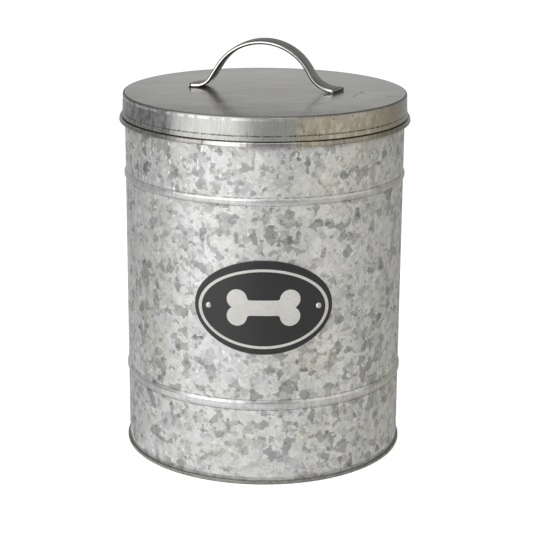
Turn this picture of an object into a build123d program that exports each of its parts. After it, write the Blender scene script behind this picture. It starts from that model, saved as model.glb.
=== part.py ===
from build123d import *
from math import asin, cos, hypot, radians, sin
import os

# Pet food bin: a round galvanised steel bin with a lift-off cap lid.
# Millimetres, +Z up.  The origin is the centre of the foot rim on the floor,
# and -Y is the front, where the oval badge is.

# ---------------------------------------------------------------- body shell
BODY_R = 120.0            # outside radius of the rolled shell
SHEET = 0.6               # sheet thickness of shell and neck ring
SHELL_TOP = 288.1         # raw top edge, tucked under the neck ring's bead
SWAGE_TOP_Z = 243.2       # middle of the upper swage bead
SWAGE_TOP_H = 6.0         # foot to foot
SWAGE_TOP_R = 121.25
SWAGE_LOW_Z = 70.2        # middle of the lower swage bead
SWAGE_LOW_H = 7.8
SWAGE_LOW_R = 121.15
FOOT_NECK_R = 119.6       # the seaming rollers neck the shell in above the rim
FOOT_NECK_Z = 5.6

# lock seam down the back of the shell: two folds stacked outwards
SEAM_WIDE = 8.4           # arc length of the lower fold
SEAM_NARROW = 6.6         # arc length of the upper fold
SEAM_STEP = 0.55          # height of each fold
SEAM_Z0 = 6.2
SEAM_Z1 = 287.6

# ------------------------------------------------- base pan and double seam
PAN_SHEET = 0.7
PAN_RIM_R = 121.85        # outside of the rim
PAN_RIM_H = 3.4
PAN_DISC_Z = 6.0          # underside of the recessed disc
PAN_WALL_R = 118.25       # inner face of the countersink wall
SEAM_GAP = 0.05           # clearance between the folded layers

# ------------------------------------------------------------- neck ring
NECK_R = 120.6            # outside of the neck inside the lid
NECK_TOP = 311.8
NECK_FLANGE_Z = 272.0     # lower edge of the flange inside the shell
BEAD_Z0 = 288.5
BEAD_Z1 = 292.45
BEAD_R_LOW = 125.1
BEAD_R_TOP = 124.5
BUTT_ANGLE = -23.5        # butt joint, degrees from the front, seen from above
BUTT_GAP = 0.7

# -------------------------------------------------------------- lid
LID_SHEET = 0.5
LID_TOP = 312.8
LID_R = 121.5             # top corner of the skirt
LID_CORNER = 1.5
SKIRT_R = 122.0           # skirt just above the hem
HEM_R = 122.4             # outside of the folded hem
HEM_TOP = 296.8
SKIRT_BOTTOM = 292.8

# -------------------------------------------------------------- lid handle
STRAP_W = 20.4
STRAP_T = 3.4             # over the hemmed edges
STRAP_HEM = 4.2           # width of the folded-under edge
STRAP_WEB = 1.3           # the single sheet between the hems
STRAP_CROWN = 0.2
BOW_TOP = 39.4            # middle of the strap above its feet
BOW_SHIFT = -2.4          # the top of the bow sits a little to the left
BOW_R = 46.0              # bend radius of the bow on the strap's middle surface
LEG_LEFT, FOOT_R_LEFT = 57.7, 14.5        # steepest slope, and the bend into the foot
LEG_RIGHT, FOOT_R_RIGHT = 61.0, 25.5
FOOT_END_LEFT = 65.0      # middle of the strap to the end of each foot
FOOT_END_RIGHT = 63.0
FOOT_SKEW = 2.9           # the ends are cut oblique: further out at one corner, less at the other
FOOT_CLOSED = 1.45        # this last bit of the foot is solid and rounded off
HANDLE_TURN = -13.1       # turned about Z on the lid
HANDLE_X = 1.5
HANDLE_Y = 6.6

# -------------------------------------------------------------- badge
BADGE_Z = 155.0
BADGE_A = 56.3            # half width across the chord, half height
BADGE_B = 39.9
BADGE_T = 1.0
ENAMEL = 0.22             # thickness of the raised cream enamel
LINE_A, LINE_B = 53.2, 33.9
LINE_DROP = 1.0           # the line sits a little low on the plate
LINE_W, LINE_H = 2.6, 2.2
RIVET_ANGLE = 21.9        # degrees each side of the front
RIVET_SHANK_R = 1.3
RIVET_HOLE_R = 1.36
RIVET_HEAD_R = 2.55
RIVET_HEAD_H = 1.7
RIVET_TAIL_R = 2.1
BONE_LEN = 60.0           # overall length of the bone emblem
BONE_LOBE = 8.3           # lobe radius
BONE_SHAFT = 13.0         # shaft width


def parallel(points, radii, thickness):
    """The path on the other face of a bent sheet: every corner moved along its
    bisector, and every bend radius changed by the thickness (0.2 at least).  A
    positive thickness lies to the right of the direction of travel."""
    normals = []
    for (x0, z0), (x1, z1) in zip(points[:-1], points[1:]):
        length = hypot(x1 - x0, z1 - z0)
        normals.append(((z1 - z0) / length, -(x1 - x0) / length))
    out = [(points[0][0] + normals[0][0] * thickness, points[0][1] + normals[0][1] * thickness)]
    out_radii = []
    for (nx0, nz0), (nx1, nz1), (x, z), radius in zip(normals[:-1], normals[1:], points[1:-1], radii):
        scale = thickness / (1 + nx0 * nx1 + nz0 * nz1)
        out.append((x + (nx0 + nx1) * scale, z + (nz0 + nz1) * scale))
        # a right turn has its centre on the thickness side
        right_turn = nx0 * nz1 - nz0 * nx1 < 0
        out_radii.append(max(0.2, radius - thickness if right_turn else radius + thickness))
    out.append((points[-1][0] + normals[-1][0] * thickness, points[-1][1] + normals[-1][1] * thickness))
    return out, out_radii


def swage(z, height, radius):
    """Corners of a rolled bead, from its upper foot down to its lower foot."""
    half = height / 2
    return [(BODY_R, z + half + 0.35), (radius, z + half * 0.42), (radius, z - half * 0.42),
            (BODY_R, z - half - 0.35)], [0.9, 1.9, 1.9, 0.9]


# The shell's outer face, from its top edge down and round the seam hook.
beads_top, radii_top = swage(SWAGE_TOP_Z, SWAGE_TOP_H, SWAGE_TOP_R)
beads_low, radii_low = swage(SWAGE_LOW_Z, SWAGE_LOW_H, SWAGE_LOW_R)
hook_z = PAN_SHEET + SEAM_GAP + SHEET          # inside of the shell's hook
hook_r = FOOT_NECK_R + 2 * SEAM_GAP + PAN_SHEET
shell_wall = [(BODY_R, SHELL_TOP)] + beads_top + beads_low + [
    (BODY_R, FOOT_NECK_Z + 0.9), (FOOT_NECK_R, FOOT_NECK_Z - 0.9)]
shell_wall_radii = radii_top + radii_low + [1.6]
shell_outer = shell_wall + [(FOOT_NECK_R, hook_z), (hook_r, hook_z), (hook_r, PAN_RIM_H - PAN_SHEET - 0.15)]
shell_outer_radii = shell_wall_radii + [1.0, 0.38, 0.38]
shell_inner, shell_inner_radii = parallel(shell_outer, shell_outer_radii, SHEET)

rivet_planes = []
for side in (-1, 1):
    a = radians(RIVET_ANGLE) * side
    radial = Vector(sin(a), -cos(a), 0)
    rivet_planes.append(Plane(origin=radial * BODY_R + Vector(0, 0, BADGE_Z), x_dir=(0, 0, 1), z_dir=radial))

with BuildPart() as body_shell:
    with BuildSketch(Plane.XZ) as shell_section:
        with BuildLine():
            FilletPolyline(*shell_outer, radius=shell_outer_radii)
            FilletPolyline(*shell_inner, radius=shell_inner_radii)
            Line(shell_outer[0], shell_inner[0])
            Line(shell_outer[-1], shell_inner[-1])
        make_face()
    revolve(axis=Axis.Z)
    # the lock seam at the back follows the wall over both beads
    for width, height in ((SEAM_WIDE, SEAM_STEP), (SEAM_NARROW, 2 * SEAM_STEP)):
        arc = width / radians(1) / BODY_R
        start = radians(90 - arc / 2)
        path = [(BODY_R, SEAM_Z1)] + beads_top + beads_low + [(BODY_R, SEAM_Z0)]
        path_radii = radii_top + radii_low
        low, low_radii = parallel(path, path_radii, 0.3)
        top, top_radii = parallel(path, path_radii, -height)
        with BuildSketch(Plane(origin=(0, 0, 0), x_dir=(cos(start), sin(start), 0),
                               z_dir=(sin(start), -cos(start), 0))):
            with BuildLine():
                FilletPolyline(*low, radius=low_radii)
                FilletPolyline(*top, radius=top_radii)
                Line(low[0], top[0])
                Line(low[-1], top[-1])
            make_face()
        revolve(axis=Axis.Z, revolution_arc=arc)
    # clearance holes for the badge's two rivets
    with Locations(*rivet_planes):
        Hole(radius=RIVET_HOLE_R, depth=4)

# ---------------------------------------------------------------- base pan
pan_fold_r = FOOT_NECK_R + SEAM_GAP            # inner face of the pan's hook
pan_lower = [(0, PAN_DISC_Z), (PAN_WALL_R, PAN_DISC_Z), (PAN_WALL_R, 0), (PAN_RIM_R, 0),
             (PAN_RIM_R, PAN_RIM_H), (pan_fold_r, PAN_RIM_H), (pan_fold_r, hook_z + 0.35)]
pan_lower_radii = [1.2, 1.05, 1.2, 1.05, 1.02]
pan_upper, pan_upper_radii = parallel(pan_lower, pan_lower_radii, -PAN_SHEET)
pan_upper[0] = (0, pan_upper[0][1])

with BuildPart() as base_pan:
    with BuildSketch(Plane.XZ) as pan_section:
        with BuildLine():
            FilletPolyline(*pan_lower, radius=pan_lower_radii)
            FilletPolyline(*pan_upper, radius=pan_upper_radii)
            Line(pan_lower[0], pan_upper[0])
            Line(pan_lower[-1], pan_upper[-1])
        make_face()
    revolve(axis=Axis.Z)

# ---------------------------------------------------------------- neck ring
flange_r = BODY_R - SHEET - SEAM_GAP
ring_outer = [(flange_r, NECK_FLANGE_Z), (flange_r, BEAD_Z0), (BEAD_R_LOW, BEAD_Z0), (BEAD_R_TOP, BEAD_Z1),
              (NECK_R, BEAD_Z1), (NECK_R, NECK_TOP), (NECK_R - 3.5, NECK_TOP), (NECK_R - 3.5, NECK_TOP - 2.4)]
ring_outer_radii = [0.4, 1.0, 1.0, 0.5, 1.65, 1.65]
ring_inner, ring_inner_radii = parallel(ring_outer, ring_outer_radii, -SHEET)

with BuildPart() as neck_ring:
    with BuildSketch(Plane.XZ) as ring_section:
        with BuildLine():
            FilletPolyline(*ring_outer, radius=ring_outer_radii)
            FilletPolyline(*ring_inner, radius=ring_inner_radii)
            Line(ring_outer[0], ring_inner[0])
            Line(ring_outer[-1], ring_inner[-1])
        make_face()
    revolve(axis=Axis.Z)
    # the two ends of the strip meet in a butt joint
    butt = radians(BUTT_ANGLE)
    with BuildSketch(Plane(origin=(0, 0, NECK_FLANGE_Z - 5), x_dir=(cos(butt), sin(butt), 0), z_dir=(0, 0, 1))):
        with Locations((0, -BODY_R)):
            Rectangle(BUTT_GAP, 16)
    extrude(amount=NECK_TOP - NECK_FLANGE_Z + 10, mode=Mode.SUBTRACT)

# ---------------------------------------------------------------- lid
hem_in = HEM_R - 2 * LID_SHEET - 0.05          # inner face of the hem
lid_outer = [(0, LID_TOP), (LID_R, LID_TOP), (SKIRT_R, HEM_TOP + 0.85), (SKIRT_R - 0.28, HEM_TOP + 0.55),
             (SKIRT_R - 0.28, HEM_TOP - 0.05), (HEM_R - 0.1, HEM_TOP), (HEM_R, SKIRT_BOTTOM)]
lid_outer_radii = [LID_CORNER, 0.2, 0.1, 0.06, 0.2]
lid_inner = [(0, LID_TOP - LID_SHEET), (LID_R - LID_SHEET, LID_TOP - LID_SHEET),
             (SKIRT_R - LID_SHEET, HEM_TOP + 1.5), (hem_in, HEM_TOP + 0.6), (hem_in, SKIRT_BOTTOM), (HEM_R, SKIRT_BOTTOM)]

with BuildPart() as lid_shell:
    with BuildSketch(Plane.XZ) as lid_section:
        with BuildLine():
            FilletPolyline(*lid_outer, (hem_in, SKIRT_BOTTOM), *lid_inner[3:0:-1], lid_inner[0],
                           radius=lid_outer_radii + [0.42, 0.38, 0.5, 0.5, LID_CORNER - LID_SHEET])
            Line(lid_inner[0], lid_outer[0])
        make_face()
    revolve(axis=Axis.Z)

# ---------------------------------------------------------------- lid handle
# The strap's middle line in its own upright plane: foot, leg, bow, leg, foot.
turn = radians(HANDLE_TURN)
strap_mid = STRAP_T / 2
handle_plane = Plane(origin=(HANDLE_X, HANDLE_Y, LID_TOP + strap_mid),
                     x_dir=(cos(turn), sin(turn), 0), z_dir=(sin(turn), -cos(turn), 0))


def leg(slope, foot_r):
    """Shoulder, knee, middle of the foot bend and start of the flat foot, measured from the top of the bow."""
    a = radians(slope)
    straight = (BOW_TOP - (BOW_R + foot_r) * (1 - cos(a))) / sin(a)
    shoulder = (BOW_R * sin(a), BOW_TOP - BOW_R * (1 - cos(a)))
    knee = (shoulder[0] + straight * cos(a), shoulder[1] - straight * sin(a))
    foot = knee[0] + foot_r * sin(a)
    return shoulder, knee, (foot - foot_r * sin(a / 2), foot_r * (1 - cos(a / 2))), (foot, 0)


left = [(BOW_SHIFT - x, z) for x, z in leg(LEG_LEFT, FOOT_R_LEFT)]
right = [(BOW_SHIFT + x, z) for x, z in leg(LEG_RIGHT, FOOT_R_RIGHT)]


def blank(left_end, right_end, w):
    """Corners of the flat strap, whose two ends are cut parallel and a little oblique."""
    k = 2 * FOOT_SKEW / STRAP_W
    return (-left_end - k * w, -w), (right_end - k * w, -w), (right_end + k * w, w), (-left_end + k * w, w)


# the ends of the feet are closed and pressed a little thinner and wider, with rounded corners and rim
lid_plane = Plane(origin=(HANDLE_X, HANDLE_Y, LID_TOP), x_dir=handle_plane.x_dir, z_dir=(0, 0, 1))
with BuildPart() as foot_ends:
    with BuildSketch(lid_plane) as outline:
        Polygon(*blank(FOOT_END_LEFT, FOOT_END_RIGHT, STRAP_W / 2 + 0.2), align=None)
        fillet([v for v in outline.vertices() if v.X * v.Y < 0], 1.8)
        fillet([v for v in outline.vertices() if v.X * v.Y > 0], 1.0)
    extrude(amount=STRAP_T - 0.2)
    fillet(foot_ends.edges().filter_by(lambda e: abs(e.center().Z - LID_TOP - strap_mid) > 1), radius=0.9)
    with BuildSketch(lid_plane.offset(-1)):
        Polygon(*blank(FOOT_END_LEFT - FOOT_CLOSED, FOOT_END_RIGHT - FOOT_CLOSED, STRAP_W / 2 + 1), align=None)
    extrude(amount=10, mode=Mode.SUBTRACT)

with BuildPart() as lid_handle:
    with BuildLine(handle_plane) as strap_path:
        Line((-FOOT_END_LEFT, 0), left[3])
        ThreePointArc(left[3], left[2], left[1])
        Line(left[1], left[0])
        ThreePointArc(left[0], (BOW_SHIFT, BOW_TOP), right[0])
        Line(right[0], right[1])
        ThreePointArc(right[1], right[2], right[3])
        Line(right[3], (FOOT_END_RIGHT, 0))
    half_w, half_t, hem_x = STRAP_W / 2, STRAP_T / 2, STRAP_W / 2 - STRAP_HEM
    web = half_t - STRAP_WEB
    start_point = strap_path.line @ 0
    with BuildSketch(Plane(origin=start_point, x_dir=-handle_plane.z_dir, z_dir=handle_plane.x_dir)) as strap_section:
        # crowned top, edges folded under, channel between the folds
        with BuildLine():
            Line((-hem_x, -half_t), (-(half_w - half_t), -half_t))
            ThreePointArc((-(half_w - half_t), -half_t), (-half_w, 0), (-(half_w - half_t), half_t))
            ThreePointArc((-(half_w - half_t), half_t), (0, half_t + STRAP_CROWN), (half_w - half_t, half_t))
            ThreePointArc((half_w - half_t, half_t), (half_w, 0), (half_w - half_t, -half_t))
            Line((half_w - half_t, -half_t), (hem_x, -half_t))
            Line((hem_x, -half_t), (hem_x, web))
            Line((hem_x, web), (-hem_x, web))
            Line((-hem_x, web), (-hem_x, -half_t))
        make_face()
    sweep(path=strap_path.line)
    with BuildSketch(lid_plane.offset(-1)):
        Polygon(*blank(FOOT_END_LEFT - FOOT_CLOSED + 0.2, FOOT_END_RIGHT - FOOT_CLOSED + 0.2, STRAP_W / 2 + 0.5),
                align=None)
    extrude(amount=60, mode=Mode.INTERSECT)
    add(foot_ends.part)

# ---------------------------------------------------------------- badge
plate_in = BODY_R + 0.05
plate_out = plate_in + BADGE_T

with BuildPart() as badge_plate:
    with BuildSketch(Plane.XY.offset(BADGE_Z - 50)):
        Circle(plate_out)
        Circle(plate_in, mode=Mode.SUBTRACT)
    extrude(amount=100)
    with BuildSketch(Plane.XZ.offset(80)):
        with Locations((0, BADGE_Z)):
            Ellipse(BADGE_A, BADGE_B)
    extrude(amount=60, mode=Mode.INTERSECT)
    with Locations(*rivet_planes):
        Hole(radius=RIVET_HOLE_R, depth=4)

with BuildPart() as badge_border:
    with BuildSketch(Plane.XY.offset(BADGE_Z - 50)):
        Circle(plate_out + ENAMEL)
        Circle(plate_out, mode=Mode.SUBTRACT)
    extrude(amount=100)
    with BuildSketch(Plane.XZ.offset(80)):
        with Locations((0, BADGE_Z - LINE_DROP)):
            Ellipse(LINE_A, LINE_B)
            Ellipse(LINE_A - LINE_W, LINE_B - LINE_H, mode=Mode.SUBTRACT)
    extrude(amount=60, mode=Mode.INTERSECT)

lobe_x = BONE_LEN / 2 - BONE_LOBE
lobe_z = BONE_LOBE * 0.86
with BuildPart() as badge_emblem:
    with BuildSketch(Plane.XY.offset(BADGE_Z - 50)):
        Circle(plate_out + ENAMEL)
        Circle(plate_out, mode=Mode.SUBTRACT)
    extrude(amount=100)
    with BuildSketch(Plane.XZ.offset(80)) as bone:
        with Locations((0, BADGE_Z)):
            Rectangle(2 * lobe_x, BONE_SHAFT)
        with Locations(*[(i * lobe_x, BADGE_Z + j * lobe_z) for i in (-1, 1) for j in (-1, 1)]):
            Circle(BONE_LOBE)
        # soften the inner corners where the lobes meet the shaft
        inner = [v for v in bone.vertices() if abs(v.X) < lobe_x - 1]
        fillet(inner, 2.2)
    extrude(amount=60, mode=Mode.INTERSECT)

with BuildPart() as badge_rivets:
    for place in rivet_planes:
        # dome head on the plate, shank through both sheets, clinched tail inside
        head = plate_out - BODY_R + 0.01
        tail = -SHEET - 0.06
        side_plane = Plane(origin=place.origin, x_dir=place.x_dir, z_dir=place.x_dir.cross(place.z_dir))
        rise = RIVET_HEAD_H - 0.25
        dome_r = (RIVET_HEAD_R ** 2 + rise ** 2) / (2 * rise)      # a true sphere, centred on the axis
        dome_mid = asin(RIVET_HEAD_R / dome_r) / 2
        with BuildSketch(side_plane):
            with BuildLine():
                Line((0, head + RIVET_HEAD_H), (0, tail - 0.8))
                Line((0, tail - 0.8), (RIVET_TAIL_R - 0.3, tail - 0.8))
                Line((RIVET_TAIL_R - 0.3, tail - 0.8), (RIVET_TAIL_R, tail - 0.5))
                Line((RIVET_TAIL_R, tail - 0.5), (RIVET_TAIL_R, tail))
                Line((RIVET_TAIL_R, tail), (RIVET_SHANK_R, tail))
                Line((RIVET_SHANK_R, tail), (RIVET_SHANK_R, head))
                Line((RIVET_SHANK_R, head), (RIVET_HEAD_R, head))
                Line((RIVET_HEAD_R, head), (RIVET_HEAD_R, head + 0.25))
                ThreePointArc((RIVET_HEAD_R, head + 0.25),
                              (dome_r * sin(dome_mid), head + RIVET_HEAD_H - dome_r * (1 - cos(dome_mid))),
                              (0, head + RIVET_HEAD_H))
            make_face()
        revolve(axis=Axis(place.origin, place.z_dir))

# ---------------------------------------------------------------- export
os.makedirs("parts", exist_ok=True)
pieces = {
    "body_shell": body_shell, "base_pan": base_pan, "neck_ring": neck_ring, "lid_shell": lid_shell,
    "lid_handle": lid_handle, "badge_plate": badge_plate, "badge_border": badge_border,
    "badge_emblem": badge_emblem, "badge_rivets": badge_rivets,
}
for piece_name, piece in pieces.items():
    piece.part.label = piece_name

export_step(body_shell.part, "parts/body_shell.step")
export_step(base_pan.part, "parts/base_pan.step")
export_step(neck_ring.part, "parts/neck_ring.step")
export_step(lid_shell.part, "parts/lid_shell.step")
export_step(lid_handle.part, "parts/lid_handle.step")
export_step(badge_plate.part, "parts/badge_plate.step")
export_step(badge_border.part, "parts/badge_border.step")
export_step(badge_emblem.part, "parts/badge_emblem.step")
export_step(badge_rivets.part, "parts/badge_rivets.step")
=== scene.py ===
import bpy
import math
from mathutils import Matrix, Vector

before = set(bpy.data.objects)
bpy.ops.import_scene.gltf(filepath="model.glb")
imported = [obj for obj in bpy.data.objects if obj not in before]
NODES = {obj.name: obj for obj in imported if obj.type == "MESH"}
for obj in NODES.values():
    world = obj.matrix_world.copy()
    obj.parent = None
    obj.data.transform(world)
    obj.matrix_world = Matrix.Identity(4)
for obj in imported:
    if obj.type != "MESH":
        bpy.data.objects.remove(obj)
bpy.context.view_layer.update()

# ------------------------------------------------------------------ node helpers


def lin(*srgb):
    """8-bit display values to linear colour."""
    out = []
    for c in srgb:
        c = c / 255.0
        out.append(c / 12.92 if c <= 0.04045 else ((c + 0.055) / 1.055) ** 2.4)
    if len(out) == 1:
        out = out * 3
    return tuple(out) + (1.0,)


class Mat:
    """A material with one Principled shader, and short calls for the nodes that feed it."""

    def __init__(self, name):
        self.m = bpy.data.materials.new(name)
        self.m.use_nodes = True
        self.t = self.m.node_tree
        self.t.nodes.clear()
        self.out = self.t.nodes.new("ShaderNodeOutputMaterial")
        self.p = self.t.nodes.new("ShaderNodeBsdfPrincipled")
        self.t.links.new(self.p.outputs[0], self.out.inputs[0])
        self.tc = self.t.nodes.new("ShaderNodeTexCoord")
        self.mm = self.vscale(self.tc.outputs["Object"], 1000.0)
        s = self.t.nodes.new("ShaderNodeSeparateXYZ")
        self.t.links.new(self.mm, s.inputs[0])
        self.x, self.y, self.z = s.outputs

    def put(self, sock, v):
        if isinstance(v, bpy.types.NodeSocket):
            self.t.links.new(v, sock)
        elif isinstance(v, (tuple, list)) and len(v) == 4 and len(sock.default_value) == 3:
            sock.default_value = v[:3]
        else:
            sock.default_value = v

    def set(self, name, v):
        self.put(self.p.inputs[name], v)

    def math(self, op, a, b=None, c=None, clamp=False):
        n = self.t.nodes.new("ShaderNodeMath")
        n.operation = op
        n.use_clamp = clamp
        self.put(n.inputs[0], a)
        if b is not None:
            self.put(n.inputs[1], b)
        if c is not None:
            self.put(n.inputs[2], c)
        return n.outputs[0]

    def add(self, a, b):
        return self.math("ADD", a, b)

    def sub(self, a, b):
        return self.math("SUBTRACT", a, b)

    def mul(self, a, b):
        return self.math("MULTIPLY", a, b)

    def madd(self, a, b, c):
        return self.math("MULTIPLY_ADD", a, b, c)

    def vmath(self, op, a, b=None, scale=None):
        n = self.t.nodes.new("ShaderNodeVectorMath")
        n.operation = op
        self.put(n.inputs[0], a)
        if b is not None:
            self.put(n.inputs[1], b)
        if scale is not None:
            self.put(n.inputs["Scale"], scale)
        return n.outputs["Value"] if op in ("LENGTH", "DOT_PRODUCT", "DISTANCE") else n.outputs[0]

    def vscale(self, v, s):
        return self.vmath("SCALE", v, scale=s)

    def vec(self, x, y, z):
        n = self.t.nodes.new("ShaderNodeCombineXYZ")
        for i, v in enumerate((x, y, z)):
            self.put(n.inputs[i], v)
        return n.outputs[0]

    def sep(self, c):
        n = self.t.nodes.new("ShaderNodeSeparateColor")
        self.put(n.inputs[0], c)
        return n.outputs[0], n.outputs[1], n.outputs[2]

    def noise(self, v, scale, detail=2.0, rough=0.5, distort=0.0, lac=2.0):
        n = self.t.nodes.new("ShaderNodeTexNoise")
        n.noise_dimensions = "3D"
        self.put(n.inputs["Vector"], v)
        n.inputs["Scale"].default_value = scale
        n.inputs["Detail"].default_value = detail
        n.inputs["Roughness"].default_value = rough
        n.inputs["Lacunarity"].default_value = lac
        n.inputs["Distortion"].default_value = distort
        return n

    def fac(self, *a, **k):
        return self.noise(*a, **k).outputs[0]

    def voronoi(self, v, scale, feature="F1", metric="EUCLIDEAN", randomness=1.0, exponent=0.5, smooth=0.0):
        n = self.t.nodes.new("ShaderNodeTexVoronoi")
        n.voronoi_dimensions = "3D"
        n.feature = feature
        if feature != "DISTANCE_TO_EDGE":
            n.distance = metric
        self.put(n.inputs["Vector"], v)
        n.inputs["Scale"].default_value = scale
        n.inputs["Randomness"].default_value = randomness
        if metric == "MINKOWSKI":
            n.inputs["Exponent"].default_value = exponent
        if feature == "SMOOTH_F1":
            n.inputs["Smoothness"].default_value = smooth
        return n

    def ramp(self, f, stops, interp="LINEAR"):
        n = self.t.nodes.new("ShaderNodeValToRGB")
        self.put(n.inputs[0], f)
        r = n.color_ramp
        r.interpolation = interp
        while len(r.elements) > 1:
            r.elements.remove(r.elements[-1])
        for i, (pos, col) in enumerate(stops):
            e = r.elements[0] if i == 0 else r.elements.new(pos)
            e.position = pos
            e.color = col if isinstance(col, (tuple, list)) else (col, col, col, 1)
        return n.outputs[0]

    def mix(self, f, a, b, mode="MIX"):
        n = self.t.nodes.new("ShaderNodeMix")
        n.data_type = "RGBA"
        n.blend_type = mode
        n.clamp_factor = True
        self.put(n.inputs[0], f)
        self.put(n.inputs[6], a)
        self.put(n.inputs[7], b)
        return n.outputs[2]

    def mixf(self, f, a, b):
        n = self.t.nodes.new("ShaderNodeMix")
        n.data_type = "FLOAT"
        self.put(n.inputs[0], f)
        self.put(n.inputs[2], a)
        self.put(n.inputs[3], b)
        return n.outputs[0]

    def rng(self, v, a, b, c=0.0, d=1.0, kind="SMOOTHSTEP"):
        n = self.t.nodes.new("ShaderNodeMapRange")
        n.interpolation_type = kind
        n.clamp = True
        self.put(n.inputs[0], v)
        n.inputs[1].default_value = a
        n.inputs[2].default_value = b
        n.inputs[3].default_value = c
        n.inputs[4].default_value = d
        return n.outputs[0]

    def band(self, v, centre, half, soft):
        """1 inside centre +- half, falling to 0 over soft."""
        d = self.math("ABSOLUTE", self.sub(v, centre))
        return self.rng(d, half, half + soft, 1.0, 0.0)

    def grey(self, f):
        """A scalar as a colour."""
        return self.vec(f, f, f)

    def tint(self, colour, f):
        """colour times a scalar."""
        return self.vmath("MULTIPLY", colour, self.vec(f, f, f))

    def bump(self, height, strength, dist, normal=None):
        n = self.t.nodes.new("ShaderNodeBump")
        n.inputs["Strength"].default_value = strength
        n.inputs["Distance"].default_value = dist
        self.put(n.inputs["Height"], height)
        if normal is not None:
            self.put(n.inputs["Normal"], normal)
        return n.outputs[0]

    def tilt(self, colour, amount):
        """The surface normal leaned by a random vector, one per crystal."""
        g = self.t.nodes.new("ShaderNodeNewGeometry")
        off = self.vscale(self.vmath("SUBTRACT", colour, (0.5, 0.5, 0.5)), amount)
        return self.vmath("NORMALIZE", self.vmath("ADD", g.outputs["Normal"], off))

    def theta(self):
        """Degrees round the bin, 0 at the front, + towards +X; it jumps at the back, where the lock seam is."""
        a = self.math("ARCTAN2", self.x, self.mul(self.y, -1.0))
        return self.mul(a, 180.0 / math.pi)


def use(node, mat):
    o = NODES[node]
    o.data.materials.clear()
    o.data.materials.append(mat.m)


# ------------------------------------------------------------------ materials


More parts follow.
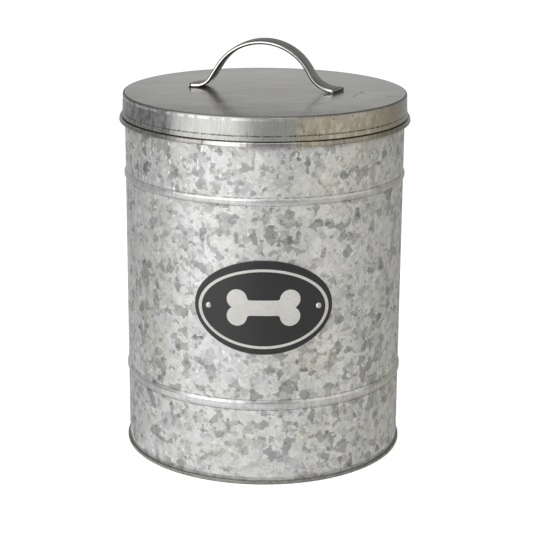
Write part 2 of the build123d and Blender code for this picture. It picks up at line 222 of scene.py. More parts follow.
def galvanised():
    """Hot-dip galvanised sheet: light zinc with darker angular crystals, white flecks painted as glints, smoother
    swages with painted shade in their feet, a front painted lighter.
    """
    m = Mat("galvanised_spangle")
    p = m.mm
    z = m.z
    th = m.theta()
    w1 = m.vscale(m.vmath("SUBTRACT", m.noise(p, 0.13, 2.0).outputs[1], (0.5, 0.5, 0.5)), 7.0)
    w2 = m.vscale(m.vmath("SUBTRACT", m.noise(p, 0.50, 4.0, 0.70).outputs[1], (0.5, 0.5, 0.5)), 3.4)
    q = m.vmath("ADD", m.vmath("ADD", p, w1), w2)
    big = m.voronoi(m.vmath("ADD", q, (11.0, 3.0, 5.0)), 1 / 15.0)
    q2 = m.vmath("ADD", m.vmath("ADD", p, m.vscale(w1, 0.6)), m.vscale(w2, 0.8))
    mid = m.voronoi(q2, 1 / 7.0, metric="MANHATTAN")
    q3 = m.vmath("ADD", m.vmath("ADD", p, m.vscale(w1, 0.5)), m.vscale(w2, 0.6))
    sml = m.voronoi(m.vmath("ADD", q3, (31.0, 17.0, 53.0)), 1 / 3.3, metric="CHEBYCHEV")
    br, bg, bb = m.sep(big.outputs[1])
    mr, mg, mb = m.sep(mid.outputs[1])
    sr, sg, sb = m.sep(sml.outputs[1])
    cloud = m.fac(p, 0.02, 2.0)
    cloud2 = m.fac(m.vmath("ADD", p, (200.0, 0.0, 0.0)), 0.035, 2.0)
    tone0 = m.rng(br, 0.0, 1.0, 0.93, 1.04, "LINEAR")
    t1 = m.add(mr, m.mul(m.sub(cloud, 0.5), 0.55))
    tone1 = m.ramp(t1, [(0.0, 1.06), (0.14, 0.97), (0.30, 1.02), (0.48, 0.98), (0.69, 0.85), (0.79, 0.75), (0.86, 0.66), (0.94, 0.57)],
                   "CONSTANT")
    t2 = m.add(sr, m.mul(m.sub(cloud2, 0.5), 0.5))
    tone2 = m.ramp(t2, [(0.0, 1.05), (0.22, 0.96), (0.45, 1.02), (0.62, 0.96), (0.79, 0.84), (0.89, 0.72), (0.965, 0.61)], "CONSTANT")
    tone = m.mul(m.mul(tone1, tone2), tone0)
    # thin darker outlines round some crystals
    edge = m.voronoi(m.vmath("ADD", q, (11.0, 3.0, 5.0)), 1 / 15.0, "DISTANCE_TO_EDGE")
    outline = m.mul(m.rng(edge.outputs[0], 0.010, 0.045, 1.0, 0.0), m.rng(cloud2, 0.46, 0.58, 0.0, 1.0))
    tone = m.mul(tone, m.rng(outline, 0.0, 1.0, 1.0, 0.84, "LINEAR"))
    fine = m.fac(p, 0.75, 4.0, 0.72)
    tone = m.mul(tone, m.rng(fine, 0.28, 0.72, 0.88, 1.10, "LINEAR"))
    # upright rolling streaks, strongest at the sides
    st = m.fac(m.vmath("MULTIPLY", p, (1.0, 1.0, 0.10)), 0.34, 3.0, 0.6)
    side = m.rng(m.math("ABSOLUTE", m.add(th, 8.0)), 30.0, 62.0, 0.25, 1.0)
    tone = m.mul(tone, m.madd(m.mul(m.sub(st, 0.5), side), 0.42, 1.0))
    # small dark pits
    pit = m.voronoi(m.vmath("ADD", p, (9.0, 77.0, 3.0)), 1 / 2.6)
    pr, pg, pb = m.sep(pit.outputs[1])
    pits = m.mul(m.math("GREATER_THAN", pr, 0.955), m.rng(pit.outputs[0], 0.16, 0.34, 1.0, 0.0))
    tone = m.mul(tone, m.rng(m.mul(pits, m.rng(cloud, 0.42, 0.58, 0.3, 1.0)), 0.0, 1.0, 1.0, 0.55, "LINEAR"))
    # painted glints: white flecks, long and clustered, most at the left and high up, where the lamps catch the
    # crystals
    g = m.voronoi(m.vmath("MULTIPLY", m.vmath("ADD", p, m.vscale(w2, 0.7)), (1.0, 1.0, 0.50)), 1 / 2.5)
    gr, gg, gb = m.sep(g.outputs[1])
    glint_zone = m.math("MAXIMUM", m.rng(th, -60.0, -30.0, 1.0, 0.0), m.mul(m.rng(z, 246.0, 282.0, 0.0, 1.0), 0.9))
    glint_zone = m.math("MAXIMUM", glint_zone, m.rng(m.fac(p, 0.045, 2.0), 0.55, 0.66, 0.0, 1.0))
    thr = m.rng(glint_zone, 0.0, 1.0, 0.994, 0.93, "LINEAR")
    painted_glint = m.mul(m.math("GREATER_THAN", gr, thr), m.rng(g.outputs[0], 0.24, 0.42, 1.0, 0.0))
    g2 = m.voronoi(m.vmath("MULTIPLY", m.vmath("ADD", m.vmath("ADD", p, m.vscale(w2, 1.2)), (5.0, 61.0, 2.0)),
                           (1.0, 1.0, 0.55)), 1 / 3.4)
    hr, hg, hb = m.sep(g2.outputs[1])
    glint_spot_zone = m.mul(m.mul(m.rng(th, -68.0, -58.0), m.rng(th, -34.0, -22.0, 1.0, 0.0)), m.rng(z, 205.0, 245.0))
    glint_spot_zone = m.math("MAXIMUM", glint_spot_zone, m.mul(m.mul(m.rng(th, -4.0, 2.0), m.rng(th, 10.0, 16.0, 1.0, 0.0)), m.rng(z, 245.0, 262.0)))
    painted_glint2 = m.mul(m.math("GREATER_THAN", hr, m.rng(glint_spot_zone, 0.0, 1.0, 1.0, 0.87, "LINEAR")),
                   m.rng(g2.outputs[0], 0.26, 0.44, 1.0, 0.0))
    painted_glint = m.math("MAXIMUM", painted_glint, painted_glint2)
    # swages are smoother and more even
    bead = m.math("MAXIMUM", m.band(z, 243.2, 1.9, 1.3), m.band(z, 70.2, 2.7, 1.6))
    hue = m.fac(m.vmath("ADD", p, (0.0, 50.0, 90.0)), 0.016, 2.0)
    warm = m.mul(m.rng(m.add(hue, m.mul(m.rng(th, -20.0, 50.0, -0.10, 0.10, "LINEAR"), 1.0)), 0.44, 0.66), 0.75)
    base = m.mix(warm, lin(220, 220, 219), lin(217, 217, 207))
    cool = m.rng(mb, 0.86, 0.90, 0.0, 0.35)
    base = m.mix(cool, base, lin(206, 208, 212))
    # painted light: the front of the bin is made up to 12% lighter, as the lamps fall on it
    painted_front_light = m.mul(m.rng(th, -12.0, 2.0), m.rng(th, 26.0, 50.0, 1.0, 0.0))
    col = m.tint(m.tint(base, tone), m.rng(painted_front_light, 0.0, 1.0, 1.0, 1.12, "LINEAR"))
    col = m.mix(m.mul(painted_glint, 0.9), col, lin(250))
    beadcol = m.tint(m.mix(warm, lin(208, 208, 208), lin(203, 202, 190)), m.rng(st, 0.3, 0.7, 0.86, 1.06, "LINEAR"))
    col = m.mix(m.mul(bead, 0.72), col, beadcol)
    # painted shade: broken dark lines in the creases at the feet of the swages, on the outside only
    r = m.vmath("LENGTH", m.vec(m.x, m.y, 0.0))
    outside = m.rng(r, 119.5, 119.8)
    brk = m.rng(m.fac(m.vmath("MULTIPLY", p, (1, 1, 3.0)), 0.16, 3.0, 0.65), 0.36, 0.62, 0.35, 1.0)
    swage_crease_shade = m.math("MAXIMUM", m.band(z, 246.5, 0.25, 0.55), m.band(z, 240.1, 0.1, 0.45))
    swage_crease_shade = m.math("MAXIMUM", swage_crease_shade, m.band(z, 74.8, 0.2, 0.5))
    swage_crease_shade = m.math("MAXIMUM", swage_crease_shade, m.band(z, 66.0, 0.2, 0.6))
    swage_crease_shade = m.mul(m.mul(swage_crease_shade, brk), outside)
    col = m.mix(m.mul(swage_crease_shade, 0.66), col, lin(104, 103, 95))
    # soiling under the neck ring, browner to the right; along the foot, painted shade of the gap above the base rim,
    # with dirt
    drip = m.rng(m.fac(m.vmath("MULTIPLY", p, (1, 1, 0.3)), 0.30, 3.0, 0.6), 0.35, 0.65, 0.3, 1.0)
    under = m.mul(m.rng(z, 283.5, 288.2), m.mul(drip, m.rng(th, -20.0, 25.0, 0.35, 1.0)))
    col = m.mix(m.mul(m.mul(under, outside), 0.62), col, lin(140, 132, 116))
    foot_shade_and_dirt = m.rng(z, 3.2, 6.6, 1.0, 0.0)
    col = m.mix(m.mul(m.mul(foot_shade_and_dirt, outside), 0.62), col, lin(96, 97, 90))
    m.set("Base Color", col)
    m.set("Metallic", 0.75)
    rough = m.rng(mg, 0.0, 1.0, 0.40, 0.54, "LINEAR")
    rough = m.mixf(bead, rough, 0.27)
    rough = m.math("ADD", rough, m.mul(swage_crease_shade, 0.2))
    m.set("Roughness", rough)
    n = m.tilt(mid.outputs[1], 0.07)
    m.set("Normal", m.bump(fine, 0.14, 0.0004, n))
    return m


def plain_base():
    """The pan and its rim: greyer zinc, painted shade with grime in the seam, painted shade along the floor edge."""
    m = Mat("galvanised_plain")
    f = m.fac(m.mm, 0.30, 4.0, 0.62)
    col = m.mix(m.rng(f, 0.3, 0.7), lin(132, 133, 126), lin(172, 173, 166))
    sp = m.voronoi(m.vmath("ADD", m.mm, (3.0, 9.0, 4.0)), 1 / 8.0)
    sr, sg, sb = m.sep(sp.outputs[1])
    col = m.tint(col, m.rng(sr, 0.0, 1.0, 0.90, 1.06, "LINEAR"))
    rim = m.rng(m.vmath("LENGTH", m.vec(m.x, m.y, 0.0)), 120.6, 121.2)
    # painted shade of the seam gap along the top of the rim, with grime in it
    top = m.mul(m.rng(m.z, 2.5, 3.2), rim)
    col = m.mix(m.mul(top, 0.75), col, lin(86, 87, 80))
    # painted shade along the rim's lower edge, where it meets the floor
    lower_edge_shade = m.mul(m.rng(m.z, 0.4, 1.1, 1.0, 0.0), rim)
    col = m.mix(m.mul(lower_edge_shade, 0.7), col, lin(84, 84, 78))
    m.set("Base Color", col)
    m.set("Metallic", 0.75)
    m.set("Roughness", m.rng(f, 0.2, 0.8, 0.34, 0.5, "LINEAR"))
    m.set("Normal", m.bump(m.fac(m.mm, 1.5, 3.0), 0.15, 0.0003))
    return m


def tan_zone(m, th, start, soft):
    """Where handling and food oils have stained the right-hand side: an upright edge that wanders a little."""
    wander = m.mul(m.sub(m.fac(m.vmath("MULTIPLY", m.mm, (1, 1, 0.5)), 0.12, 2.0), 0.5), 6.0)
    t = m.add(th, wander)
    return m.mul(m.rng(t, start, start + soft), m.rng(th, 120.0, 160.0, 1.0, 0.0))


def ring():
    """The rolled neck ring: bright strip, purple-grey and tan staining, painted light and shade by direction, brown
    painted shade with dirt in the gap under the lid, painted shade on its underside.
    """
    m = Mat("ring_steel")
    th = m.theta()
    z = m.z
    s = m.vmath("MULTIPLY", m.mm, (1, 1, 0.12))
    f = m.fac(s, 0.34, 4.0, 0.65)
    col = m.mix(m.rng(f, 0.3, 0.7), lin(184, 183, 177), lin(218, 217, 211))
    # painted light and shade: the strip is darkened left of the front and lightened from the front round to the
    # right, as the lamps fall on it; a plain 0.9 round the back
    around = m.rng(m.math("ABSOLUTE", th), 70.0, 110.0)
    col = m.tint(col, m.mixf(around, m.rng(th, -24.0, -15.0, 0.56, 1.28), 0.9))
    left = m.rng(m.add(th, m.mul(m.sub(f, 0.5), 12.0)), -41.0, -35.0, 1.0, 0.0)
    left = m.mul(left, m.rng(th, -150.0, -110.0))
    lcol = m.mix(m.rng(m.fac(m.mm, 0.45, 3.0, 0.65), 0.38, 0.62), lin(120, 118, 110), lin(168, 167, 160))
    col = m.mix(m.mul(left, 0.85), col, lcol)
    mauve = m.mul(m.rng(th, -8.0, -3.0), m.rng(th, 8.0, 14.0, 1.0, 0.0))
    col = m.mix(m.mul(mauve, 0.9), col, m.mix(f, lin(150, 145, 150), lin(176, 172, 176)))
    tan = tan_zone(m, th, 9.0, 6.0)
    tcol = m.mix(m.rng(f, 0.32, 0.68), lin(148, 138, 119), lin(186, 179, 160))
    tcol = m.tint(tcol, m.rng(th, 14.0, 26.0, 1.0, 0.66))
    col = m.mix(m.mul(tan, 0.92), col, tcol)
    spot = m.voronoi(m.mm, 1 / 2.3)
    pr, pg, pb = m.sep(spot.outputs[1])
    dots = m.mul(m.math("GREATER_THAN", pr, 0.90), m.rng(spot.outputs[0], 0.15, 0.38, 1.0, 0.0))
    col = m.mix(m.mul(dots, 0.45), col, lin(104, 94, 78))
    r = m.vmath("LENGTH", m.vec(m.x, m.y, 0.0))
    # painted shade in the gap under the lid skirt, brown as with dirt
    gap_shade_and_dirt = m.mul(m.rng(z, 291.9, 292.35), m.rng(r, 124.3, 123.5, 0.0, 1.0))
    gap_shade_and_dirt = m.mul(gap_shade_and_dirt, m.rng(z, 293.4, 294.4, 1.0, 0.0))
    col = m.mix(m.mul(gap_shade_and_dirt, 0.80), col, lin(84, 70, 50))
    # painted shade on the ring's underside, where it rounds in to the body
    lower_edge_shade = m.rng(z, 288.55, 289.1, 1.0, 0.0)
    col = m.mix(m.mul(lower_edge_shade, 0.5), col, lin(112, 106, 94))
    m.set("Base Color", col)
    m.set("Metallic", 0.85)
    m.set("Roughness", m.rng(f, 0.2, 0.8, 0.20, 0.32, "LINEAR"))
    m.set("Normal", m.bump(f, 0.10, 0.0003))
    return m


def segment(m, x0, y0, x1, y1, half, soft):
    """1 on a straight scratch on the lid top, given by its ends in mm."""
    dx, dy = x1 - x0, y1 - y0
    ll = math.hypot(dx, dy)
    ux, uy = dx / ll, dy / ll
    wob = m.mul(m.sub(m.fac(m.mm, 0.25, 2.0), 0.5), 1.6)
    px, py = m.add(m.x, -x0), m.add(m.y, -y0)
    along = m.add(m.mul(px, ux), m.mul(py, uy))
    across = m.math("ABSOLUTE", m.add(m.add(m.mul(px, -uy), m.mul(py, ux)), wob))
    inside = m.mul(m.rng(along, -1.0, 1.5), m.rng(along, ll - 2.0, ll + 1.0, 1.0, 0.0))
    return m.mul(inside, m.rng(across, half, half + soft, 1.0, 0.0))


def lid():
    """Drawn cap lid: satin top with long polishing streaks, draw marks down the skirt, tan staining and dirt;
    painted shade across the top, at the corner and at the skirt's foot, and a painted highlight below the corner.
    """
    m = Mat("lid_steel")
    p, z = m.mm, m.z
    th = m.theta()
    r = m.vmath("LENGTH", m.vec(m.x, m.y, 0.0))
    # --- top
    warp = m.vscale(m.vmath("SUBTRACT", m.noise(p, 0.02, 2.0).outputs[1], (0.5, 0.5, 0.5)), 14.0)
    pw = m.vmath("ADD", p, warp)
    s1 = m.fac(m.vmath("MULTIPLY", pw, (0.22, 1, 1)), 0.17, 4.0, 0.66)
    s2 = m.fac(m.vmath("MULTIPLY", m.vmath("ADD", pw, (90.0, 40.0, 0.0)), (0.30, 1, 1)), 0.06, 3.0, 0.6)
    cloud = m.fac(p, 0.02, 2.0)
    top = m.mix(m.rng(s1, 0.30, 0.70, 0.0, 1.0, "LINEAR"), lin(157, 157, 154), lin(196, 195, 191))
    top = m.tint(top, m.rng(s2, 0.3, 0.7, 0.89, 1.07, "LINEAR"))
    top = m.tint(top, m.rng(cloud, 0.3, 0.7, 0.95, 1.05, "LINEAR"))
    # painted shade: the top darkens towards its rim and towards the front, and lightens a little at the back, as the
    # reflected light falls off
    top = m.tint(top, m.rng(r, 84.0, 119.0, 1.0, 0.86))
    top = m.tint(top, m.mul(m.rng(m.y, -72.0, -8.0, 0.95, 0.83), m.rng(m.y, 40.0, 112.0, 1.0, 1.05)))
    scratch = segment(m, 73.9, -30.3, 78.8, -17.2, 0.25, 0.9)
    scratch = m.math("MAXIMUM", scratch, segment(m, 80.2, -13.5, 84.7, -1.9, 0.2, 0.8))
    scratch = m.math("MAXIMUM", scratch, m.mul(segment(m, 99.0, -22.5, 111.5, -31.5, 0.2, 0.8), 0.55))
    scratch = m.math("MAXIMUM", scratch, m.mul(segment(m, -40.0, -52.0, -22.0, -49.0, 0.1, 0.7), 0.4))
    scratch = m.math("MAXIMUM", scratch, m.mul(segment(m, 20.0, 84.0, 46.0, 80.0, 0.1, 0.7), 0.4))
    fs = m.fac(m.vmath("MULTIPLY", m.vmath("ADD", pw, (10.0, 70.0, 0.0)), (0.10, 1, 1)), 0.35, 3.0, 0.6)
    hair = m.rng(fs, 0.60, 0.68)
    top = m.mix(m.mul(hair, 0.20), top, lin(110, 110, 106))
    top = m.mix(m.mul(scratch, 0.55), top, lin(84, 84, 80))
    # --- skirt
    v1 = m.fac(m.vmath("MULTIPLY", p, (1, 1, 0.07)), 0.85, 4.0, 0.65)
    v2 = m.fac(m.vmath("MULTIPLY", p, (1, 1, 0.30)), 0.16, 3.0, 0.6)
    skirt = m.mix(m.rng(v1, 0.28, 0.72, 0.0, 1.0, "LINEAR"), lin(182, 182, 178), lin(202, 202, 198))
    skirt = m.tint(skirt, m.rng(v2, 0.3, 0.7, 0.93, 1.04, "LINEAR"))
    left = m.rng(m.add(th, m.mul(m.sub(v2, 0.5), 9.0)), -40.0, -37.0, 1.0, 0.0)
    left = m.mul(left, m.rng(th, -150.0, -110.0))
    mott = m.mix(m.rng(m.fac(m.vmath("MULTIPLY", p, (1, 1, 0.45)), 0.28, 3.0, 0.65), 0.38, 0.62),
                 lin(118, 118, 123), lin(172, 172, 170))
    skirt = m.mix(m.mul(left, 0.85), skirt, mott)
    tan = tan_zone(m, th, 10.4, 3.0)
    tcol = m.mix(m.rng(m.fac(m.vmath("MULTIPLY", p, (1, 1, 0.6)), 0.22, 4.0, 0.65), 0.34, 0.66),
                 lin(170, 160, 138), lin(206, 202, 188))
    far = m.rng(th, 34.0, 60.0)
    tcol = m.mix(m.mul(far, 0.7), tcol, m.mix(v1, lin(150, 144, 118), lin(176, 171, 148)))
    rosy = m.rng(m.fac(m.vmath("MULTIPLY", m.vmath("ADD", p, (30.0, 0.0, 8.0)), (1, 1, 0.7)), 0.10, 2.0), 0.50, 0.60)
    tcol = m.mix(m.mul(rosy, 0.6), tcol, m.mix(v1, lin(158, 144, 126), lin(188, 178, 164)))
    tcol = m.mix(m.rng(th, 62.0, 76.0), tcol, lin(182, 183, 182))
    skirt = m.mix(m.mul(tan, 0.94), skirt, tcol)
    spot = m.voronoi(m.vmath("MULTIPLY", p, (1, 1, 0.8)), 1 / 2.6)
    pr, pg, pb = m.sep(spot.outputs[1])
    dots = m.mul(m.math("GREATER_THAN", pr, 0.90), m.rng(spot.outputs[0], 0.16, 0.42, 1.0, 0.0))
    skirt = m.mix(m.mul(m.mul(dots, m.rng(tan, 0.0, 1.0, 0.10, 1.0, "LINEAR")), 0.6), skirt, lin(108, 96, 76))
    # painted highlight: a bright line just below the corner, left of centre
    wear_and_highlight = m.mul(m.mul(m.band(z, 310.1, 0.5, 0.9), m.rng(th, 16.0, -6.0, 0.0, 1.0)), m.rng(v2, 0.4, 0.55))
    skirt = m.mix(m.mul(wear_and_highlight, 0.7), skirt, lin(244))
    # hem: broken dark line in its step, dirt dots round it, upright nicks
    dash = m.rng(m.fac(m.vmath("MULTIPLY", p, (1, 1, 0.2)), 0.34, 3.0, 0.7), 0.42, 0.56, 0.12, 1.0)
    dash = m.mul(dash, m.mul(m.rng(th, -44.0, -36.0, 0.25, 1.0), m.rng(th, 50.0, 66.0, 1.0, 0.4)))
    hem = m.mul(m.band(z, 297.05, 0.30, 0.35), dash)
    skirt = m.mix(m.mul(hem, 0.78), skirt, lin(74, 70, 62))
    hd = m.voronoi(m.vmath("ADD", p, (40.0, 3.0, 1.0)), 1 / 3.1)
    hr, hg, hb = m.sep(hd.outputs[1])
    hdots = m.mul(m.mul(m.math("GREATER_THAN", hr, 0.80), m.rng(hd.outputs[0], 0.15, 0.35, 1.0, 0.0)),
                  m.band(z, 297.3, 0.7, 1.3))
    skirt = m.mix(m.mul(hdots, 0.7), skirt, lin(78, 70, 58))
    nick = m.math("MAXIMUM", m.band(th, -6.5, 0.08, 0.14), m.band(th, 20.9, 0.08, 0.14))
    nick = m.mul(nick, m.mul(m.rng(z, 295.0, 296.0), m.rng(z, 299.5, 301.0, 1.0, 0.0)))
    skirt = m.mix(m.mul(nick, 0.6), skirt, lin(90, 86, 78))
    # painted shade along the skirt's lowest edge, over the gap above the neck ring
    skirt_foot_shade = m.rng(z, 293.0, 293.7, 1.0, 0.0)
    skirt = m.mix(m.mul(skirt_foot_shade, 0.22), skirt, lin(110, 98, 78))
    # --- corner between them: a fine dark line, painted as the dark reflection in the bend
    is_top = m.rng(z, 311.9, 312.5)
    col = m.mix(is_top, skirt, top)
    corner_dark_reflection = m.mul(m.rng(r, 119.7, 120.5), m.rng(z, 311.2, 312.0))
    col = m.mix(m.mul(corner_dark_reflection, 0.62), col, lin(70, 70, 64))
    under = m.mul(m.rng(r, 119.0, 120.2, 1.0, 0.0), m.rng(z, 312.35, 312.5, 1.0, 0.0))
    col = m.mix(under, col, top)
    m.set("Base Color", col)
    m.set("Metallic", 0.88)
    rt = m.add(m.rng(s1, 0.2, 0.8, 0.19, 0.26, "LINEAR"), m.mul(scratch, 0.2))
    rs = m.add(m.rng(v1, 0.2, 0.8, 0.22, 0.30, "LINEAR"), m.mul(tan, 0.06))
    rough = m.mixf(is_top, rs, rt)
    rough = m.add(rough, m.mul(corner_dark_reflection, 0.25))
    m.set("Roughness", rough)
    # the top is very slightly crowned, and neither face is quite true
    g = m.t.nodes.new("ShaderNodeNewGeometry")
    wave = m.vmath("SUBTRACT", m.noise(m.vmath("MULTIPLY", p, (0.35, 1, 1)), 0.03, 2.0).outputs[1], (0.5, 0.5, 0.5))
    lean = m.vmath("ADD", m.vscale(wave, 0.030), m.vmath("MULTIPLY", p, (0.0003, 0.0003, 0.0)))
    lean = m.vmath("MULTIPLY", lean, m.vec(is_top, is_top, is_top))
    n = m.vmath("NORMALIZE", m.vmath("ADD", g.outputs["Normal"], lean))
    m.set("Normal", m.bump(m.mixf(is_top, v1, s1), 0.10, 0.0003, n))
    return m


def strap():
    """The pressed handle: dark steel brushed lengthwise, its hemmed edges painted bright on the upper side as a
    highlight, and painted shade on the sides facing down.
    """
    m = Mat("strap_steel")
    a = math.radians(-13.1)
    ca, sa = math.cos(a), math.sin(a)
    s = m.add(m.mul(m.x, ca), m.mul(m.y, sa))
    w = m.add(m.mul(m.x, -sa), m.mul(m.y, ca))
    v = m.vec(m.mul(s, 0.06), w, m.mul(m.z, 0.06))
    f = m.fac(v, 0.55, 4.0, 0.72)
    f2 = m.fac(m.vec(m.mul(s, 0.25), w, m.mul(m.z, 0.25)), 0.35, 3.0, 0.6)
    col = m.mix(m.rng(f, 0.32, 0.68, 0.0, 1.0, "LINEAR"), lin(74, 74, 71), lin(142, 142, 137))
    col = m.tint(col, m.rng(f2, 0.3, 0.7, 0.84, 1.12, "LINEAR"))
    olive = m.rng(m.fac(m.vmath("ADD", m.mm, (0.0, 12.0, 5.0)), 0.06, 2.0), 0.54, 0.66, 0.0, 0.6)
    col = m.mix(olive, col, lin(126, 122, 98))
    g = m.t.nodes.new("ShaderNodeNewGeometry")
    gx, gy, gz = m.t.nodes.new("ShaderNodeSeparateXYZ").outputs
    m.t.links.new(g.outputs["Normal"], gx.node.inputs[0])
    nw = m.math("ABSOLUTE", m.add(m.mul(gx, -sa), m.mul(gy, ca)))
    ns = m.add(m.mul(gx, ca), m.mul(gy, sa))
    # outward from a low point under the bow: which side of the strap faces up and out
    out = m.vmath("NORMALIZE", m.vec(m.sub(s, -1.0), 0.0, m.sub(m.z, 296.0)))
    ox, oy, oz = m.t.nodes.new("ShaderNodeSeparateXYZ").outputs
    m.t.links.new(out, ox.node.inputs[0])
    up = m.add(m.mul(ns, ox), m.mul(gz, oz))
    # painted highlight: the hemmed edges facing up and out, and the end rim of the right foot, painted near-white
    # and smoother, broken up by the brushing
    painted_edge_sheen = m.mul(m.mul(m.rng(nw, 0.55, 0.8), m.rng(up, -0.22, 0.0)), m.rng(up, 0.34, 0.52, 1.0, 0.0))
    rim = m.mul(m.mul(m.rng(ns, 0.3, 0.55), m.rng(gz, 0.15, 0.4)), m.rng(gz, 0.80, 0.93, 1.0, 0.0))
    painted_edge_sheen = m.math("MAXIMUM", painted_edge_sheen, m.mul(m.mul(rim, m.rng(s, 59.0, 60.0)), 0.7))
    painted_edge_sheen = m.mul(painted_edge_sheen, m.rng(f2, 0.25, 0.5, 0.70, 1.0))
    col = m.mix(painted_edge_sheen, col, lin(236, 235, 230))
    # painted shade on the sides of the strap that face down
    underside_shade = m.rng(up, -0.38, -0.22, 1.0, 0.0)
    col = m.mix(m.mul(underside_shade, 0.55), col, lin(60, 58, 54))
    m.set("Base Color", col)
    m.set("Metallic", 0.9)
    rough = m.rng(f, 0.2, 0.8, 0.30, 0.42, "LINEAR")
    m.set("Roughness", m.mixf(painted_edge_sheen, rough, 0.22))
    m.set("Normal", m.bump(f, 0.12, 0.0003))
    return m


def enamel(name, colour, rough, wear_and_highlight):
    """Vitreous enamel: faint mottling, rubbed a little."""
    m = Mat(name)
    f = m.fac(m.mm, 0.5, 4.0, 0.65)
    c = m.fac(m.mm, 0.03, 2.0)
    a = tuple(v * 0.86 for v in colour[:3]) + (1,)
    col = m.mix(m.rng(f, 0.3, 0.7, 0.0, 1.0, "LINEAR"), a, colour)
    col = m.tint(col, m.rng(c, 0.3, 0.7, 0.92, 1.08, "LINEAR"))
    speck = m.voronoi(m.mm, 1 / 3.0)
    pr, pg, pb = m.sep(speck.outputs[1])
    dots = m.mul(m.math("GREATER_THAN", pr, 0.965), m.rng(speck.outputs[0], 0.06, 0.18, 1.0, 0.0))
    col = m.mix(m.mul(dots, 0.5), col, wear_and_highlight)
    m.set("Base Color", col)
    m.set("Metallic", 0.0)
    m.set("Roughness", m.rng(f, 0.2, 0.8, rough - 0.05, rough + 0.05, "LINEAR"))
    m.set("Normal", m.bump(f, 0.05, 0.0002))
    return m


def rivet():
    m = Mat("rivet_steel")
    f = m.fac(m.mm, 0.9, 4.0, 0.65)
    m.set("Base Color", m.mix(m.rng(f, 0.3, 0.7), lin(176, 170, 160), lin(232, 229, 224)))
    m.set("Metallic", 0.9)
    m.set("Roughness", m.rng(f, 0.2, 0.8, 0.22, 0.36, "LINEAR"))
    m.set("Normal", m.bump(f, 0.12, 0.0002))
    return m


GALV = galvanised()
use("body_shell", GALV)
use("base_pan", plain_base())
use("neck_ring", ring())
LID = lid()
use("lid_shell", LID)
use("lid_handle", strap())
use("badge_plate", enamel("charcoal_enamel", lin(45, 44, 45), 0.36, lin(92)))
CREAM = enamel("cream_enamel", lin(237, 235, 230), 0.5, lin(160, 156, 146))
use("badge_border", CREAM)
use("badge_emblem", CREAM)
use("badge_rivets", rivet())

# ------------------------------------------------------------------ floor


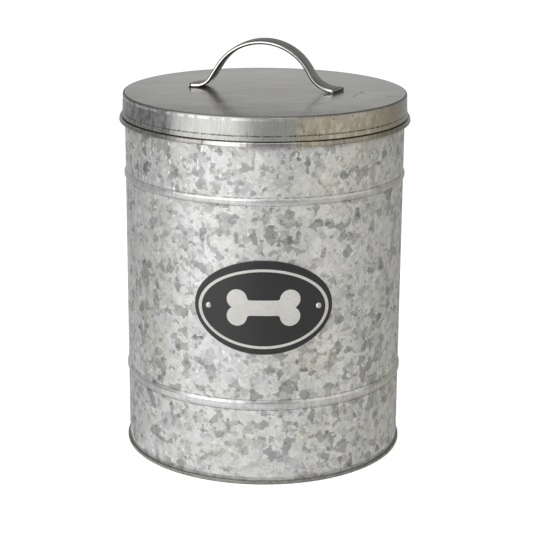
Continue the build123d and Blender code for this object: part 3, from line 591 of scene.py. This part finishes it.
def floor_material():
    """White floor. Seen straight by the camera it is lifted to white, so that only the contact shadow shows;
    in the metal's reflections it glows with painted light, the studio's pale ground brighter where the key light
    falls on it, and painted shade close round the bin."""
    m = bpy.data.materials.new("floor_white")
    m.use_nodes = True
    t = m.node_tree
    t.nodes.clear()

    def node(kind, **sets):
        n = t.nodes.new(kind)
        for k, v in sets.items():
            setattr(n, k, v)
        return n

    out = node("ShaderNodeOutputMaterial")
    d = node("ShaderNodeBsdfDiffuse")
    d.inputs[0].default_value = (0.45, 0.45, 0.45, 1)
    e = node("ShaderNodeEmission")
    lp = node("ShaderNodeLightPath")
    tc = node("ShaderNodeTexCoord")
    sx = node("ShaderNodeSeparateXYZ")
    t.links.new(tc.outputs["Object"], sx.inputs[0])
    neg = node("ShaderNodeMath", operation="MULTIPLY")
    t.links.new(sx.outputs[1], neg.inputs[0])
    neg.inputs[1].default_value = -1.0
    at = node("ShaderNodeMath", operation="ARCTAN2")
    t.links.new(sx.outputs[0], at.inputs[0])
    t.links.new(neg.outputs[0], at.inputs[1])
    unit = node("ShaderNodeMapRange")
    t.links.new(at.outputs[0], unit.inputs[0])
    unit.inputs[1].default_value = -math.pi
    unit.inputs[2].default_value = math.pi
    ramps = []
    for column in (1, 2):
        ramp = node("ShaderNodeValToRGB")
        t.links.new(unit.outputs[0], ramp.inputs[0])
        cr = ramp.color_ramp
        while len(cr.elements) > 1:
            cr.elements.remove(cr.elements[-1])
        for i, row in enumerate(GROUND):
            deg, val, warm = row[0], row[column], row[3]
            el = cr.elements[0] if i == 0 else cr.elements.new((deg + 180) / 360)
            el.position = (deg + 180) / 360
            el.color = (val, val * (1 - 0.02 * warm), val * (1 - 0.08 * warm), 1)
        ramps.append(ramp)
    near = node("ShaderNodeVectorMath", operation="LENGTH")
    t.links.new(tc.outputs["Object"], near.inputs[0])
    # painted shade in the floor's reflected glow, close round the bin
    near_bin_shade = node("ShaderNodeMapRange")
    t.links.new(near.outputs["Value"], near_bin_shade.inputs[0])
    for k, v in zip((1, 2, 3, 4), (0.12, 0.24, 0.75, 1.0)):
        near_bin_shade.inputs[k].default_value = v
    far = node("ShaderNodeMapRange")
    t.links.new(near.outputs["Value"], far.inputs[0])
    for k, v in zip((1, 2, 3, 4), (0.40, 0.95, 0.0, 1.0)):
        far.inputs[k].default_value = v
    ground = node("ShaderNodeMix", data_type="RGBA")
    t.links.new(far.outputs[0], ground.inputs[0])
    t.links.new(ramps[1].outputs[0], ground.inputs[6])
    t.links.new(ramps[0].outputs[0], ground.inputs[7])
    glossy = node("ShaderNodeMath", operation="MULTIPLY")
    t.links.new(lp.outputs["Is Glossy Ray"], glossy.inputs[0])
    t.links.new(near_bin_shade.outputs[0], glossy.inputs[1])
    e.inputs[1].default_value = 1.0
    pick = node("ShaderNodeVectorMath", operation="SCALE")
    t.links.new(ground.outputs[2], pick.inputs[0])
    t.links.new(glossy.outputs[0], pick.inputs["Scale"])
    cam_lift = node("ShaderNodeVectorMath", operation="SCALE")
    cam_lift.inputs[0].default_value = (0.86, 0.86, 0.86)
    t.links.new(lp.outputs["Is Camera Ray"], cam_lift.inputs["Scale"])
    both = node("ShaderNodeVectorMath", operation="ADD")
    t.links.new(pick.outputs[0], both.inputs[0])
    t.links.new(cam_lift.outputs[0], both.inputs[1])
    t.links.new(both.outputs[0], e.inputs[0])
    a = node("ShaderNodeAddShader")
    t.links.new(d.outputs[0], a.inputs[0])
    t.links.new(e.outputs[0], a.inputs[1])
    t.links.new(a.outputs[0], out.inputs[0])
    return m


# Painted light: the glow of the pale ground as the metal sees it, by direction round the bin: degrees, brightness
# far out, close in, warmth.
GROUND = [
    (-180, 0.36, 0.36, 0), (-125, 0.14, 0.20, 0), (-92, 0.15, 0.20, 0), (-80, 0.28, 0.32, 0), (-68, 0.80, 0.72, 0),
    (-45, 0.90, 0.80, 0), (-22, 0.88, 0.80, 0), (-12, 0.40, 0.66, 0), (-2, 0.15, 0.54, 0), (12, 0.10, 0.44, 0),
    (24, 0.20, 0.36, 1), (36, 0.36, 0.36, 1), (70, 0.38, 0.32, 1), (105, 0.24, 0.20, 1), (135, 0.13, 0.12, 1),
    (180, 0.36, 0.36, 0),
]

bpy.ops.mesh.primitive_plane_add(size=24.0, location=(0, 0, -0.0001))
floor = bpy.context.object
floor.name = "floor"
floor.data.materials.append(floor_material())

# ------------------------------------------------------------------ light

world = bpy.data.worlds.new("studio")
bpy.context.scene.world = world
world.use_nodes = True
bg = world.node_tree.nodes["Background"]
bg.inputs[0].default_value = (1, 1, 1, 1)
bg.inputs[1].default_value = 0.36


def softbox(name, az, el, dist, w, h, radiance, colour=(1, 1, 1), aim=(0, 0, 0.17)):
    """A soft area light. az is degrees round the bin from the front, + towards +X."""
    a, e = math.radians(az), math.radians(el)
    aim = Vector(aim)
    loc = aim + dist * Vector((math.sin(a) * math.cos(e), -math.cos(a) * math.cos(e), math.sin(e)))
    data = bpy.data.lights.new(name, "AREA")
    data.shape = "RECTANGLE"
    data.size, data.size_y = w, h
    data.energy = radiance * math.pi * w * h
    data.color = colour
    o = bpy.data.objects.new(name, data)
    bpy.context.scene.collection.objects.link(o)
    o.location = loc
    o.rotation_mode = "QUATERNION"
    o.rotation_quaternion = (aim - loc).to_track_quat("-Z", "Y")
    o.visible_camera = False
    return o


softbox("key_left", -43, 27, 1.25, 1.2, 1.15, 1.85)
softbox("fill_right", 60, 22, 1.6, 1.8, 1.1, 0.66, (1.0, 0.985, 0.94))
softbox("top", -10, 76, 1.8, 1.8, 1.5, 1.1)
softbox("back", 180, 9, 2.6, 3.6, 0.8, 0.29)

# ------------------------------------------------------------------ camera

cam_data = bpy.data.cameras.new("camera")
cam = bpy.data.objects.new("camera", cam_data)
bpy.context.scene.collection.objects.link(cam)
cam_data.sensor_width = 36.0
cam_data.sensor_fit = "HORIZONTAL"
F_PX, PITCH, DIST, ROLL = 1650.31, math.radians(16.03), 1.4572, 0.0064
cam_data.lens = F_PX / 533.0 * 36.0
target = Vector((0.0022, 0.0, 0.1556))
fwd = Vector((0, math.cos(PITCH), -math.sin(PITCH)))
up = Vector((0, math.sin(PITCH), math.cos(PITCH)))
right = Vector((1, 0, 0))
c, s = math.cos(ROLL), math.sin(ROLL)
ax, ay, az_ = c * right + s * up, -s * right + c * up, -fwd
cam.matrix_world = Matrix(
    (
        (ax.x, ay.x, az_.x, 0),
        (ax.y, ay.y, az_.y, 0),
        (ax.z, ay.z, az_.z, 0),
        (0, 0, 0, 1),
    )
)
cam.location = target - fwd * DIST
cam_data.clip_start, cam_data.clip_end = 0.05, 60
bpy.context.scene.camera = cam
bpy.context.scene.view_settings.view_transform = "Standard"
